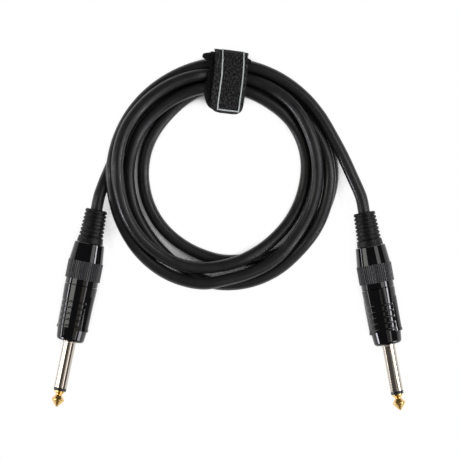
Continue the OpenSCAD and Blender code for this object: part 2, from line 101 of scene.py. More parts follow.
FOURTH_TURN = [
    (5, 52.7, 8.8), (20, 51.5, 7), (35, 49.5, 4), (55, 46.6, 3), (75, 45.8, 4.2), (90, 45.6, 4.2),
    (110, 43.8, 3.2), (130, 41.7, 3), (160, 41, 3), (190, 40.4, 3), (215, 40.3, 3), (240, 40.5, 3),
    (255, 41.2, 3), (270, 42.5, 3), (283, 43.4, 3), (295, 45.5, 3), (310, 48, 3), (325, 50.5, 3),
    (342, 53, 3),
]
LAST_TURN = [
    (0, 54.4, 3), (15, 54.3, 3), (30, 53.8, 3), (50, 52.9, 3.2), (70, 52.4, 4.1), (90, 52, 4.2),
    (110, 50.8, 3.2), (130, 50.4, 3), (148, 51, 3),
]
COIL_TURNS = [FIRST_TURN, SECOND_TURN, THIRD_TURN, FOURTH_TURN, LAST_TURN]

# The tie: where it sits on the coil, and the box that its strap goes round, with corners rounded in steps
# of so many degrees.
TIE_CENTRE = (-2.3, 26.3)
TIE_ANGLE = 2.5
TIE_TWIST = 5
TIE_RADIUS = 46.8
LOOP_HALF = 9.4
LOOP_ROUND = 5
LOOP_HEIGHT = 14
ROUND_STEP = 5

# How the coil settles: how far it sinks in a round, in how many rounds at the end it doesn't, how much of
# a push goes sideways, how much of its way off the lay a strand keeps, how much it is smoothed sideways,
# and in height while it sinks and after, over how many degrees it comes free of the leads, and how many
# degrees it stays off the leads' own points.
SINK = 0.02
STILL_ROUNDS = 60
SIDEWAYS = 0.15
STRAY = 0.93
SMOOTH_SIDEWAYS = 0.5
SMOOTH_SINKING = 0.3
SMOOTH_STILL = 0.1
FREED_OVER = 25
JOIN_GAP = 2

# How the tie holds the coil: how many degrees it reaches either side of its middle, over how many of them
# it lets go, how far it lifts the strands, how high they may come in it, and how much higher outside it.
TIE_HOLD = 21
TIE_FADE = 8
TIE_LIFT = 1.3
TIE_ROOF = 12.7
MORE_OUTSIDE = 6.3

# The strap's inner layer: its middle, how far each side spreads where it bends over the outer end, the
# middle and the reach of that stretch, and where the layer is frayed. Distances along the strap go round
# the loop, from halfway up its outer end over the top.
INNER_SHIFT = -2.2
SPREAD = 3.4
SPREAD_AT = 7.4
SPREAD_REACH = 2.3
INNER_FRAYED = (1, 24)

# Its upper layer, with the flap: its middle on top, and how far that slants back over the outer end, from
# where and over what width; its start and end, how round the end's corners are, and where it is frayed;
# and how much longer it is than the outline, because it lies outside it.
FLAP_SHIFT = 0.9
FLAP_SLANT = 1.55
SLANT_FROM = 1
SLANT_OVER = 15
FLAP_START = -5
FLAP_END = 34.9
FLAP_CORNER = 5.5
FLAP_FRAYED = (FLAP_START + 1, FLAP_END - 6)

# How far the upper layer lies outside the outline, and how far it sinks back, from where and over what
# length, towards its start. Its waves are soft, and its label and border follow them.
FLAP_LIFT = 0.6
FLAP_SINK = 0.55
SINK_FROM = -2
SINK_OVER = 3
FLAP_WAVES = {"amount": 0.1, "size": 4, "seed": 5}

# The label: its start and end, its sides from the upper layer's middle, how far it lies over the strap
# and how thick it is, and the same of its border, with its width and that of its faces.
LABEL_START = -2
LABEL_END = 32.7
LABEL_SIDES = (-4.7, 6.5)
LABEL_LIFT = 0.55
LABEL_THICK = 0.25
LINE_LIFT = 0.7
LINE_THICK = 0.22
LINE_WIDTH = 0.62
LINE_FACE = 0.35

# The hook tape under the flap: its start and end, how much narrower than the strap it is at each side,
# how far it lies outside the outline, and how thick it is.
TAPE = (16.6, 28.6)
TAPE_MARGIN = 1
TAPE_LIFT = 0.3
TAPE_THICK = 0.28

# A fibre of the strap's fuzz: how deep it is rooted, how far it stands out, how far it leans and then
# bends along the strap and upwards, how thick it is and how much of that it loses, its parts, and its
# section's corners.
FIBRE_ROOT = 0.25
FIBRE_REACH = (0.5, 1)
FIBRE_LEAN = ((-0.5, 0.5), (-0.35, 0.35))
FIBRE_BEND = ((-0.35, 0.35), (-0.4, 0.1))
FIBRE_THICK = (0.045, 0.08)
FIBRE_TAPER = 0.6
FIBRE_PARTS = 3
FIBRE_CORNERS = (0, 2.094, 4.189)

# The finishes: the values that a noise mostly has and those at which a fleck starts and is full, how far
# flecks are drawn out along the strap, the least roughness, and the fine grain's share of the height.
NOISE_RANGE = (0.3, 0.7)
FLECK_RANGE = (0.46, 0.66)
FLECK_SCALE = (1, 0.45, 1)
SMOOTHEST = 0.02
FINE_SHARE = 0.35

# The stage: what the camera looks straight down at; how far the cable's shade on the floor reaches, in
# metres, and what shares of open air make it full and make it end; and the room's light, how much less of
# it mirrors show, and where it turns white for them.
VIEW_AT = (0.7, -0.65, 8)
SHADE_REACH = 0.012
SHADE_AIR = (0.3, 0.54)
ROOM_COLOUR = (0.95, 0.96, 1)
ROOM_LIGHT = 0.3
MIRRORS_LESS = 0.2
HORIZON = 0.01


# ---- Settings ---------------------------------------------------------------


class CordSettings(bpy.types.PropertyGroup):
    diameter: FloatProperty(
        name="Diameter", description="Outer diameter of the jacket", default=6 * MM, min=0.004, max=0.008,
        unit="LENGTH")
    step: IntProperty(
        name="Step", description="Degrees between the coil's points, of which 360 is a multiple", default=5,
        min=3, max=15)
    rounds: IntProperty(
        name="Rounds", description="How often the coil is settled", default=400, min=0, max=1000)
    colour: FloatVectorProperty(
        name="Jacket", description="Colour of the jacket", subtype="COLOR",
        default=(0.012, 0.012, 0.012))


class PlugSettings(bpy.types.PropertyGroup):
    gloss: FloatVectorProperty(
        name="Shell", description="Colour of shell and bushing", subtype="COLOR",
        default=(0.0015, 0.0015, 0.002))
    knurl: FloatVectorProperty(
        name="Grip ring", description="Colour of the knurled ring", subtype="COLOR",
        default=(0.04, 0.04, 0.043))
    rubber: FloatVectorProperty(
        name="Boot", description="Colour of the rubber boot", subtype="COLOR",
        default=(0.003, 0.003, 0.003))
    nickel: FloatVectorProperty(
        name="Sleeve", description="Colour of the nickel plate", subtype="COLOR",
        default=(0.58, 0.52, 0.445))
    gold: FloatVectorProperty(
        name="Tip", description="Colour of the gold plate", subtype="COLOR",
        default=(0.82, 0.53, 0.18))


class TieSettings(bpy.types.PropertyGroup):
    width: FloatProperty(
        name="Width", description="Width of the strap", default=16.4 * MM, min=0.01, max=0.02, unit="LENGTH")
    thickness: FloatProperty(
        name="Thickness", description="Thickness of one layer of strap", default=1 * MM, min=0.0005,
        max=0.0015, unit="LENGTH")
    colour: FloatVectorProperty(
        name="Strap", description="Colour of the strap", subtype="COLOR",
        default=(0.010, 0.010, 0.0103))
    line: FloatVectorProperty(
        name="Border", description="Colour of the label's border", subtype="COLOR",
        default=(0.72, 0.76, 0.75))


class StageSettings(bpy.types.PropertyGroup):
    view_width: FloatProperty(
        name="View", description="Width of floor that the camera shows", default=0.23, min=0.1, max=0.5,
        unit="LENGTH")
    lens: FloatProperty(name="Lens", description="Focal length of the camera", default=300, min=50, max=500)
    floor: FloatVectorProperty(
        name="Floor", description="Colour of the floor", subtype="COLOR",
        default=(0.93, 0.93, 0.93))


# ---- Small helpers ----------------------------------------------------------


def axis_of(side):
    """The way a plug points."""
    turn = math.radians(SPLAY[side])
    return Vector((math.sin(turn), -math.cos(turn), 0))


def on_axis(side, station):
    """The point on a plug's axis at a station, in millimetres from the end of its boot."""
    return Vector(BOOT_AT[side]) + axis_of(side) * station


def new_object(name, mesh):
    """A finished piece, at the origin with its place in its mesh."""
    made = bpy.data.objects.new(name, mesh)
    bpy.context.scene.collection.objects.link(made)
    return made


# ---- Materials --------------------------------------------------------------


class Shader:
    """A material's nodes, with short calls to add and join them."""

    def __init__(self, name):
        self.material = bpy.data.materials.new(name)
        self.material.use_nodes = True
        self.tree = self.material.node_tree
        self.surface = self.tree.nodes["Principled BSDF"]

    def add(self, kind, **values):
        node = self.tree.nodes.new(kind)
        for key, value in values.items():
            setattr(node, key, value)
        return node

    def group(self, group, **values):
        node = self.add("ShaderNodeGroup", node_tree=group)
        for key, value in values.items():
            node.inputs[key.replace("_", " ")].default_value = value
        return node

    def join(self, source, target):
        self.tree.links.new(source, target)

    def set(self, **values):
        for key, value in values.items():
            socket = self.surface.inputs[key.replace("_", " ")]
            socket.default_value = (*value, 1) if hasattr(value, "__len__") and len(value) == 3 else value

    def bump(self, height, strength, distance):
        node = self.add("ShaderNodeBump")
        node.inputs["Strength"].default_value = strength
        node.inputs["Distance"].default_value = distance
        self.join(height, node.inputs["Height"])
        self.join(node.outputs["Normal"], self.surface.inputs["Normal"])


def new_group(name, inputs, outputs):
    """A shader node group with its sockets: inputs as (name, kind, default), outputs as (name, kind)."""
    group = bpy.data.node_groups.new(name, "ShaderNodeTree")
    for label, kind, default in inputs:
        socket = group.interface.new_socket(name=label, in_out="INPUT", socket_type="NodeSocket" + kind)
        if default is not None:
            socket.default_value = default
    for label, kind in outputs:
        group.interface.new_socket(name=label, in_out="OUTPUT", socket_type="NodeSocket" + kind)
    enter = group.nodes.new("NodeGroupInput")
    leave = group.nodes.new("NodeGroupOutput")
    return group, enter, leave


def math_node(tree, operation, a, b=None):
    """A Math node; a and b are sockets or numbers."""
    node = tree.nodes.new("ShaderNodeMath")
    node.operation = operation
    for socket, value in zip(node.inputs, (a, b)):
        if value is None:
            continue
        if isinstance(value, (int, float)):
            socket.default_value = value
        else:
            tree.links.new(value, socket)
    return node.outputs[0]


def range_node(tree, value, start, end, low=0, high=1, kind="LINEAR"):
    """A Map Range node, which takes a value between start and end to one between low and high."""
    node = tree.nodes.new("ShaderNodeMapRange")
    node.interpolation_type = kind
    for label, limit in (("From Min", start), ("From Max", end), ("To Min", low), ("To Max", high)):
        node.inputs[label].default_value = limit
    tree.links.new(value, node.inputs["Value"])
    return node.outputs[0]


def show_both(tree, share, first, second, output):
    """A Mix Shader node that shows two shaders, the second by its share."""
    node = tree.nodes.new("ShaderNodeMixShader")
    for source, socket in zip((share, first, second), node.inputs):
        tree.links.new(source, socket)
    tree.links.new(node.outputs[0], tree.nodes[output].inputs["Surface"])


def grain_group():
    """Fine unevenness of a moulded or extruded surface: a height, and a mask of soft patches."""
    group, enter, leave = new_group(
        "Grain",
        [("Vector", "Vector", None), ("Fine", "Float", 2500.0), ("Soft", "Float", 200.0)],
        [("Height", "Float"), ("Patches", "Float")],
    )
    fine = group.nodes.new("ShaderNodeTexNoise")
    fine.inputs["Detail"].default_value = 3
    soft = group.nodes.new("ShaderNodeTexNoise")
    soft.inputs["Detail"].default_value = 2
    for node, scale in ((fine, "Fine"), (soft, "Soft")):
        group.links.new(enter.outputs["Vector"], node.inputs["Vector"])
        group.links.new(enter.outputs[scale], node.inputs["Scale"])
    fine_share = math_node(group, "MULTIPLY", fine.outputs["Fac"], FINE_SHARE)
    soft_share = math_node(group, "MULTIPLY", soft.outputs["Fac"], 1 - FINE_SHARE)
    group.links.new(math_node(group, "ADD", fine_share, soft_share), leave.inputs["Height"])
    group.links.new(soft.outputs["Fac"], leave.inputs["Patches"])
    return group


def weave_group():
    """Brushed cloth on a strap's own UV, in metres: a height, and a mask of paler fibres along the strap."""
    group, enter, leave = new_group(
        "Weave",
        [("Vector", "Vector", None), ("Threads", "Float", 1600.0), ("Flecks", "Float", 2200.0)],
        [("Height", "Float"), ("Flecks", "Float")],
    )
    split = group.nodes.new("ShaderNodeSeparateXYZ")
    group.links.new(enter.outputs["Vector"], split.inputs[0])
    waves = []
    for axis in ("X", "Y"):
        turns = math_node(group, "MULTIPLY", split.outputs[axis], enter.outputs["Threads"])
        waves.append(math_node(group, "SINE", math_node(group, "MULTIPLY", turns, math.pi)))
    cross = math_node(group, "MULTIPLY", math_node(group, "MULTIPLY", waves[0], waves[1]), 0.5)
    weft = math_node(group, "MULTIPLY", math_node(group, "ABSOLUTE", waves[1]), 0.5)
    group.links.new(math_node(group, "ADD", cross, weft), leave.inputs["Height"])
    drawn = group.nodes.new("ShaderNodeVectorMath")
    drawn.operation = "MULTIPLY"
    drawn.inputs[1].default_value = FLECK_SCALE
    group.links.new(enter.outputs["Vector"], drawn.inputs[0])
    fibres = group.nodes.new("ShaderNodeTexNoise")
    fibres.inputs["Detail"].default_value = 2
    fibres.inputs["Roughness"].default_value = 0.7
    group.links.new(drawn.outputs[0], fibres.inputs["Vector"])
    group.links.new(enter.outputs["Flecks"], fibres.inputs["Scale"])
    group.links.new(range_node(group, fibres.outputs["Fac"], *FLECK_RANGE), leave.inputs["Flecks"])
    return group


def grained(name, groups, colour, roughness, spread=0.08, bump=0.1, fine=2500, soft=200, depth=0.0002,
            **more):
    """A moulded, extruded or plated finish: one colour with a soft unevenness in roughness and height."""
    made = Shader(name)
    made.set(Base_Color=colour, Roughness=roughness, **more)
    place = made.add("ShaderNodeTexCoord")
    grain = made.group(groups["grain"], Fine=fine, Soft=soft)
    made.join(place.outputs["Object"], grain.inputs["Vector"])
    low, high = max(SMOOTHEST, roughness - spread), min(1, roughness + spread)
    rough = range_node(made.tree, grain.outputs["Patches"], *NOISE_RANGE, low, high)
    made.join(rough, made.surface.inputs["Roughness"])
    made.bump(grain.outputs["Height"], bump, depth)
    return made.material


def two_tone(made, mask, dark, pale):
    """Mixes two colours by a mask into the surface's colour."""
    mix = made.add("ShaderNodeMix", data_type="RGBA")
    mix.inputs["A"].default_value = (*dark, 1)
    mix.inputs["B"].default_value = (*pale, 1)
    made.join(mask, mix.inputs["Factor"])
    made.join(mix.outputs["Result"], made.surface.inputs["Base Color"])


def scaled(colour, factor):
    """A colour that many times as bright."""
    return tuple(min(1, c * factor) for c in colour)


def fabric(name, groups, colour, pale, threads, flecks, bump=0.6, depth=0.00015):
    """Woven cloth, on the piece's own UV."""
    made = Shader(name)
    made.set(Roughness=0.9, Sheen_Weight=0.08, Sheen_Roughness=0.4, Specular_IOR_Level=0.2)
    place = made.add("ShaderNodeTexCoord")
    weave = made.group(groups["weave"], Threads=threads, Flecks=flecks)
    made.join(place.outputs["UV"], weave.inputs["Vector"])
    two_tone(made, weave.outputs["Flecks"], colour, pale)
    made.bump(weave.outputs["Height"], bump, depth)
    return made.material


def make_materials():
    """Every finish of the object, by name."""
    scene = bpy.context.scene
    cord, plug, tie = scene.cable_cord, scene.cable_plug, scene.cable_tie
    groups = {"grain": grain_group(), "weave": weave_group()}
    return {
        "jacket": grained(
            "Jacket", groups, cord.colour, roughness=0.36, spread=0.08, bump=0.15, fine=1500, soft=220,
            depth=0.0003),
        "gloss": grained(
            "Black gloss", groups, plug.gloss, roughness=0.07, spread=0.02, bump=0.02, fine=900, soft=90,
            depth=0.0001),
        "knurl": grained(
            "Satin knurl", groups, plug.knurl, roughness=0.32, spread=0.06, fine=3000, soft=300,
            depth=0.0001, Metallic=0.25),
        "boot": grained(
            "Boot rubber", groups, plug.rubber, roughness=0.44, spread=0.12, bump=0.5, fine=1700, soft=500,
            depth=0.0004, Specular_IOR_Level=0.32),
        "nickel": grained(
            "Nickel", groups, plug.nickel, roughness=0.1, spread=0.03, bump=0.03, fine=1500, soft=140,
            depth=0.0001, Metallic=1.0),
        "gold": grained(
            "Gold", groups, plug.gold, roughness=0.16, spread=0.05, bump=0.03, fine=1500, soft=140,
            depth=0.0001, Metallic=1.0),
        "ring": grained("Insulator", groups, (0.01, 0.01, 0.011), roughness=0.3, spread=0.05, bump=0.03),
        "tube": grained("Inner tube", groups, (0.75, 0.70, 0.58), roughness=0.45),
        "tinned": grained(
            "Tinned lug", groups, (0.6, 0.59, 0.56), roughness=0.32, spread=0.1, Metallic=1.0),
        "fibre": grained("Fibre washer", groups, (0.25, 0.09, 0.04), roughness=0.7),
        "wire": grained("Wire insulation", groups, (0.78, 0.78, 0.76), roughness=0.4),
        "copper": grained(
            "Twisted shield", groups, (0.72, 0.36, 0.2), roughness=0.35, spread=0.1, bump=0.3,
            Metallic=1.0),
        "nylon": grained("Chuck nylon", groups, (0.8, 0.8, 0.77), roughness=0.5),
        "strap": fabric(
            "Strap", groups, tie.colour, scaled(tie.colour, 7), threads=1500, flecks=1400),
        # The inner layer is the same cloth as the strap, coloured far darker: painted shade for the shadow
        # it lies in under the upper layer.
        "under": fabric(
            "Inner strap, painted shade", groups, scaled(tie.colour, 0.12), scaled(tie.colour, 1.2), threads=1500,
            flecks=1400),
        "label": fabric(
            "Label", groups, scaled(tie.colour, 0.4), scaled(tie.colour, 6), threads=2600, flecks=1700),
        "line": fabric(
            "Border thread", groups, scaled(tie.line, 0.8), tie.line, threads=3000, flecks=1500),
        "hooks": fabric(
            "Hook tape", groups, scaled(tie.colour, 0.8), scaled(tie.colour, 3), threads=1200, flecks=1200,
            bump=1),
    }


MATERIALS = {}


def finish(name):
    """A finish by its name; all of them are made at the first call."""
    if not MATERIALS:
        MATERIALS.update(make_materials())
    return MATERIALS[name]


# ---- Cord -------------------------------------------------------------------


def polar(point):
    """A point as an angle round the coil, a distance from its centre, and a height."""
    x, y = point[0] - COIL_AT[0], point[1] - COIL_AT[1]
    return math.degrees(math.atan2(y, x)), math.hypot(x, y), point[2]


def laid_points():
    """The coil's lay from lead to lead, with one running angle."""
    start = [polar(p) for p in RIGHT_ROUTE]
    end = [polar(p) for p in reversed(LEFT_ROUTE)]
    last = 360 * (len(COIL_TURNS) - 1)
    end = [((angle % 360) + last, radius, height) for angle, radius, height in end]
    turns = [
        (angle + 360 * k, radius, height)
        for k, turn in enumerate(COIL_TURNS) for angle, radius, height in turn]
    return np.array(start + turns + end)


def through(knots, angles, column):
    """A smooth curve through the knots' values, at each angle."""
    at, value = knots[:, 0], knots[:, column]
    gap = np.diff(at)
    slope = np.diff(value) / gap
    tangent = np.concatenate([
        slope[:1], (slope[:-1] * gap[1:] + slope[1:] * gap[:-1]) / (gap[:-1] + gap[1:]), slope[-1:]])
    i = np.clip(np.searchsorted(at, angles, side="right") - 1, 0, len(at) - 2)
    u = (angles - at[i]) / gap[i]
    return (
        value[i] * (2 * u**3 - 3 * u**2 + 1) + gap[i] * tangent[i] * (u**3 - 2 * u**2 + u)
        + value[i + 1] * (3 * u**2 - 2 * u**3) + gap[i] * tangent[i + 1] * (u**3 - u**2))


def smoothed(values, weight):
    """The values drawn towards the mean of their neighbours, with the ends kept."""
    out = values.copy()
    out[1:-1] += weight * ((values[:-2] + values[2:]) / 2 - values[1:-1])
    return out


def settle(angles, radius, height, diameter, turn, free, rounds):
    """Lets the coil sink and pushes strands that lie in each other apart, mostly up and down. turn is the
    number of points in one turn, and free runs from 0, where a height is kept, to 1."""
    laid = radius.copy()
    held = height.copy()
    near_tie = np.clip((TIE_HOLD - np.abs(angles % 360 - (90 - TIE_ANGLE))) / TIE_FADE, 0, 1)
    floor = diameter / 2 + TIE_LIFT * near_tie
    roof = TIE_ROOF - diameter / 2 + MORE_OUTSIDE * (1 - near_tie)
    for k in range(rounds):
        sinking = k < rounds - STILL_ROUNDS
        height = height - (SINK if sinking else 0)
        for _ in range(2):
            radius = laid + STRAY * smoothed(radius - laid, SMOOTH_SIDEWAYS)
            height = smoothed(height, SMOOTH_SINKING if sinking else SMOOTH_STILL)
        for gap in range(turn, len(radius), turn):
            low, high = slice(0, len(radius) - gap), slice(gap, len(radius))
            across, up = radius[high] - radius[low], height[high] - height[low]
            apart = np.hypot(across, up) + 1e-9
            push = np.maximum(0, diameter - apart) / 2 / apart
            radius[low] -= SIDEWAYS * across * push
            radius[high] += SIDEWAYS * across * push
            height[low] -= up * push
            height[high] += up * push
        height = np.clip(height, floor, roof)
        height = held + (height - held) * free
    return radius, height


def boot_points(side):
    """The cord's points at a plug, from inside its boot to the end of the straight stretch."""
    return [on_axis(side, station) for station in (CORD_INSIDE, 0, -STRAIGHT_LEN)]


def cord_route(settings):
    """The cord's points from inside the right boot to inside the left boot, in millimetres."""
    knots = laid_points()
    first = knots[len(RIGHT_ROUTE) - 1, 0]
    last = knots[-len(LEFT_ROUTE), 0]
    step = settings.step
    angles = np.arange(math.ceil(knots[0, 0] / step) * step, knots[-1, 0], step, dtype=float)
    radius, height = through(knots, angles, 1), through(knots, angles, 2)
    free = np.clip(np.minimum(angles - knots[2, 0], knots[-3, 0] - angles) / FREED_OVER, 0, 1)
    diameter = settings.diameter / MM
    radius, height = settle(angles, radius, height, diameter, 360 // step, free, settings.rounds)
    keep = (angles > first + JOIN_GAP) & (angles < last - JOIN_GAP)
    turned = np.radians(angles[keep])
    x, y = COIL_AT[0] + radius[keep] * np.cos(turned), COIL_AT[1] + radius[keep] * np.sin(turned)
    coil = np.stack([x, y, height[keep]], axis=1)
    start = [*boot_points("right"), *RIGHT_ROUTE[:-1]]
    end = [*boot_points("left"), *LEFT_ROUTE[:-1]]
    return [Vector(p) for p in (*start, *coil, *reversed(end))]


class CABLE_OT_lay_cord(bpy.types.Operator):
    """Lays the cord from plug to plug, four and a half turns round"""

    bl_idname = "cable.lay_cord"
    bl_label = "Lay the cord"

    def execute(self, context):
        settings = context.scene.cable_cord
        points = cord_route(settings)
        curve = bpy.data.curves.new("cord", "CURVE")
        curve.dimensions = "3D"
        curve.bevel_depth = settings.diameter / 2
        curve.bevel_resolution = 7
        curve.resolution_u = 3
        curve.use_fill_caps = True
        spline = curve.splines.new("BEZIER")
        spline.bezier_points.add(len(points) - 1)
        for knot, point in zip(spline.bezier_points, points):
            knot.co = point * MM
            knot.handle_left_type = knot.handle_right_type = "AUTO"
        curve.materials.append(finish("jacket"))
        cord = bpy.data.objects.new("cord", curve)
        context.scene.collection.objects.link(cord)
        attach(cord, "cable")
        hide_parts("left_lead", "cable_coil", "right_lead")
        return {"FINISHED"}


# ---- Plugs ------------------------------------------------------------------

PLUG_FINISH = {
    "tip": "gold", "tip_insulator": "ring", "sleeve": "nickel", "inner_tube": "tube", "ground_lug": "tinned",
    "lug_washer": "fibre", "tip_lug": "tinned", "core_wire": "wire", "shield_pigtail": "copper",
    "cable_end": "jacket", "chuck": "nylon", "shell": "gloss", "bushing": "gloss", "grip_ring": "knurl",
    "boot": "boot",
}


class CABLE_OT_dress_plugs(bpy.types.Operator):
    """Gives every piece of both plugs its finish"""

    bl_idname = "cable.dress_plugs"
    bl_label = "Dress the plugs"

    def execute(self, context):
        for side in SIDES:
            for piece, name in PLUG_FINISH.items():
                node = NODES[f"{side}_{piece}"]
                for slot in node.material_slots:
                    slot.material = finish(name)
        return {"FINISHED"}


# ---- Tie --------------------------------------------------------------------


def tie_place():
    """What takes a piece drawn with the strap's length along Y to the tie's place on the coil."""
    return (
        Matrix.Translation((*TIE_CENTRE, 0)) @ Matrix.Rotation(-math.radians(TIE_ANGLE), 4, "Z")
        @ Matrix.Translation((0, TIE_RADIUS, 0)) @ Matrix.Rotation(-math.radians(TIE_TWIST), 4, "Z"))


def loop_outline():
    """The loop's outline as columns of distance, y, z and the normal's y and z, from halfway up its outer
    end over the top and once round."""
    rows = [(LOOP_HALF + LOOP_ROUND, LOOP_HEIGHT / 2, 1, 0)]
    corners = [
        (LOOP_HALF, LOOP_HEIGHT - LOOP_ROUND, 0), (-LOOP_HALF, LOOP_HEIGHT - LOOP_ROUND, 90),
        (-LOOP_HALF, LOOP_ROUND, 180), (LOOP_HALF, LOOP_ROUND, 270),
    ]
    for y, z, turn in corners:
        for k in range(90 // ROUND_STEP + 1):
            angle = math.radians(turn + ROUND_STEP * k)
            out = math.cos(angle), math.sin(angle)
            rows.append((y + LOOP_ROUND * out[0], z + LOOP_ROUND * out[1], *out))
    rows.append(rows[0])
    rows = np.array(rows, dtype=float)
    along = np.concatenate([[0], np.cumsum(np.linalg.norm(np.diff(rows[:, :2], axis=0), axis=1))])
    return np.column_stack([along, rows])


OUTLINE = loop_outline()
ROUND = OUTLINE[-1, 0]


def on_loop(distance, grow):
    """The point (y, z) at a distance round the loop, that much outside its outline."""
    y, z, out_y, out_z = (np.interp(distance % ROUND, OUTLINE[:, 0], OUTLINE[:, k]) for k in (1, 2, 3, 4))
    return y + grow * out_y, z + grow * out_z


def flap_centre(distance):
    """How far to the right the upper layer lies at a distance: it slants back over the outer end."""
    y = on_loop(distance, 0)[0]
    return FLAP_SHIFT - FLAP_SLANT * (max(0, y - SLANT_FROM) / SLANT_OVER) ** 2


def flap_edges(left, right):
    """Both sides of a strip on the upper layer, measured from that layer's middle."""
    return lambda distance: (flap_centre(distance) + left, flap_centre(distance) + right)


def inner_edges(width):
    """Both sides of the inner layer, which spreads where it bends over the outer end."""
    def sides(distance):
        spread = SPREAD * math.exp(-(((distance % ROUND) - SPREAD_AT) / SPREAD_REACH) ** 4)
        return INNER_SHIFT - width / 2 - spread, INNER_SHIFT + width / 2 + spread
    return sides


def flap_grow(distance):
    """How far outside the outline the upper layer lies: less at its start, where it comes away."""
    return FLAP_LIFT - FLAP_SINK * min(1, max(0, (SINK_FROM - distance) / SINK_OVER))


def strip(name, start, end, edges, grow, corner=0, across=24, step=0.5, ragged=0.1):
    """A strip of cloth round the loop between two distances, with a UV in metres. edges gives both its sides
    at a distance and grow how far outside the outline it lies; corner rounds the corners of its far end,
    across and step set its faces, and ragged how uneven its sides are. Once round, it is closed."""
    closed = end - start >= ROUND
    count = max(2, round((end - start) / step))
    rough = random.Random(name)
    bm = bmesh.new()
    uv = bm.loops.layers.uv.new("UVMap")
    rows, at = [], []
    for i in range(count + 1):
        distance = start + (end - start) * i / count
        at.append(distance)
        if closed and i == count:
            rows.append(rows[0])
            break
        left, right = edges(distance)
        into = max(0, corner - (end - distance)) if corner else 0
        trim = corner - math.sqrt(max(0, corner**2 - into**2))
        left += trim + rough.uniform(-ragged, ragged)
        right -= trim + rough.uniform(-ragged, ragged)
        y, z = on_loop(distance, grow(distance))
        rows.append([bm.verts.new((left + (right - left) * k / across, y, z)) for k in range(across + 1)])
    for i in range(count):
        for k in range(across):
            corners = ((i, k), (i + 1, k), (i + 1, k + 1), (i, k + 1))
            face = bm.faces.new([rows[row][column] for row, column in corners])
            face.smooth = True
            for loop, (row, column) in zip(face.loops, corners):
                loop[uv].uv = (loop.vert.co.x * MM, at[row] * MM)
    mesh = bpy.data.meshes.new(name)
    bm.to_mesh(mesh)
    bm.free()
    return new_object(name, mesh)


def uneven(piece, amount, size, seed):
    """Moves a piece's points a little, in soft waves that are the same each time."""
    noise.seed_set(seed)
    for vert in piece.data.vertices:
        vert.co += noise.noise_vector(vert.co / size + Vector((seed, 0, 0))) * amount


def pull_in(piece, most=5.6, half=9.9, power=6, limit=1.3):
    """Draws a strip's edges off the inner end towards the outer one, so that it ends round."""
    for vert in piece.data.vertices:
        share = min(1, max(0, -vert.co.y / LOOP_HALF))
        vert.co.y += most * min(limit, abs(vert.co.x) / half) ** power * share


def hang_down(piece, half, bend=0.15):
    """Lets what stands out past the inner layer's own sides at the top hang down."""
    for vert in piece.data.vertices:
        past = max(0, abs(vert.co.x - INNER_SHIFT) - half)
        if vert.co.z > LOOP_HEIGHT / 2:
            vert.co.z -= bend * past**2


def thicken(piece, thickness, softness=0.4):
    """Gives a strip its thickness outwards and soft edges, and applies both."""
    wall = piece.modifiers.new("wall", "SOLIDIFY")
    wall.thickness = thickness
    wall.offset = 1
    edge = piece.modifiers.new("edge", "BEVEL")
    edge.width = thickness * softness
    edge.segments = 2
    edge.limit_method = "ANGLE"
    edge.angle_limit = math.radians(50)
    bpy.ops.object.select_all(action="DESELECT")
    bpy.context.view_layer.objects.active = piece
    piece.select_set(True)
    bpy.ops.object.modifier_apply(modifier="wall")
    bpy.ops.object.modifier_apply(modifier="edge")
    piece.select_set(False)


def fuzz(name, start, end, edges, grow, thickness, count):
    """Short fibres that stand out of both edges of a strip, as one mesh."""
    rough = random.Random(name)
    bm = bmesh.new()
    for _ in range(count):
        distance = rough.uniform(start, end)
        side = rough.choice((0, 1))
        way = 2 * side - 1
        y, z = on_loop(distance, grow(distance) + rough.uniform(0.1, 0.9) * thickness)
        root = Vector((edges(distance)[side] - FIBRE_ROOT * way, y, z))
        lean = Vector((way * rough.uniform(*FIBRE_REACH), *(rough.uniform(*most) for most in FIBRE_LEAN)))
        bend = Vector((0, *(rough.uniform(*most) for most in FIBRE_BEND)))
        thick = rough.uniform(*FIBRE_THICK)
        rings = []
        for k in range(FIBRE_PARTS + 1):
            share = k / FIBRE_PARTS
            centre = root + lean * share + bend * share**2
            wide = thick * (1 - FIBRE_TAPER * share)
            rings.append([
                bm.verts.new(centre + Vector((0, wide * math.cos(turn), wide * math.sin(turn))))
                for turn in FIBRE_CORNERS])
        for low, high in zip(rings, rings[1:]):
            for k, after in ((0, 1), (1, 2), (2, 0)):
                bm.faces.new((low[k], low[after], high[after], high[k]))
        bm.faces.new(reversed(rings[0]))
        bm.faces.new(rings[-1])
    bmesh.ops.recalc_face_normals(bm, faces=bm.faces)
    mesh = bpy.data.meshes.new(name)
    bm.to_mesh(mesh)
    bm.free()
    return new_object(name, mesh)


def finish_tie_piece(piece, material):
    """Puts a piece at the tie's place and gives it its cloth."""
    piece.data.transform(Matrix.Scale(MM, 4) @ tie_place())
    piece.data.update()
    piece.data.materials.append(finish(material))


def peels(piece):
    """Bakes a piece's place into its mesh."""
    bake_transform(piece)


def wrap_inner_layer(width, thick):
    """The strap's layer round the bundle, and its fuzz."""
    edges, half = inner_edges(width), width / 2
    inner = strip("tie_strap", 0, ROUND, edges, lambda distance: -thick)
    uneven(inner, amount=0.14, size=3, seed=1)
    pull_in(inner)
    hang_down(inner, half)
    thicken(inner, thick)
    finish_tie_piece(inner, "under")
    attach(inner, "tie")
    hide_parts("tie_loop")
    inner_fuzz = fuzz("tie_strap_fuzz", *INNER_FRAYED, edges, lambda distance: -thick, thick, count=150)
    hang_down(inner_fuzz, half)
    finish_tie_piece(inner_fuzz, "under")
    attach(inner_fuzz, "tie")
    return inner, inner_fuzz


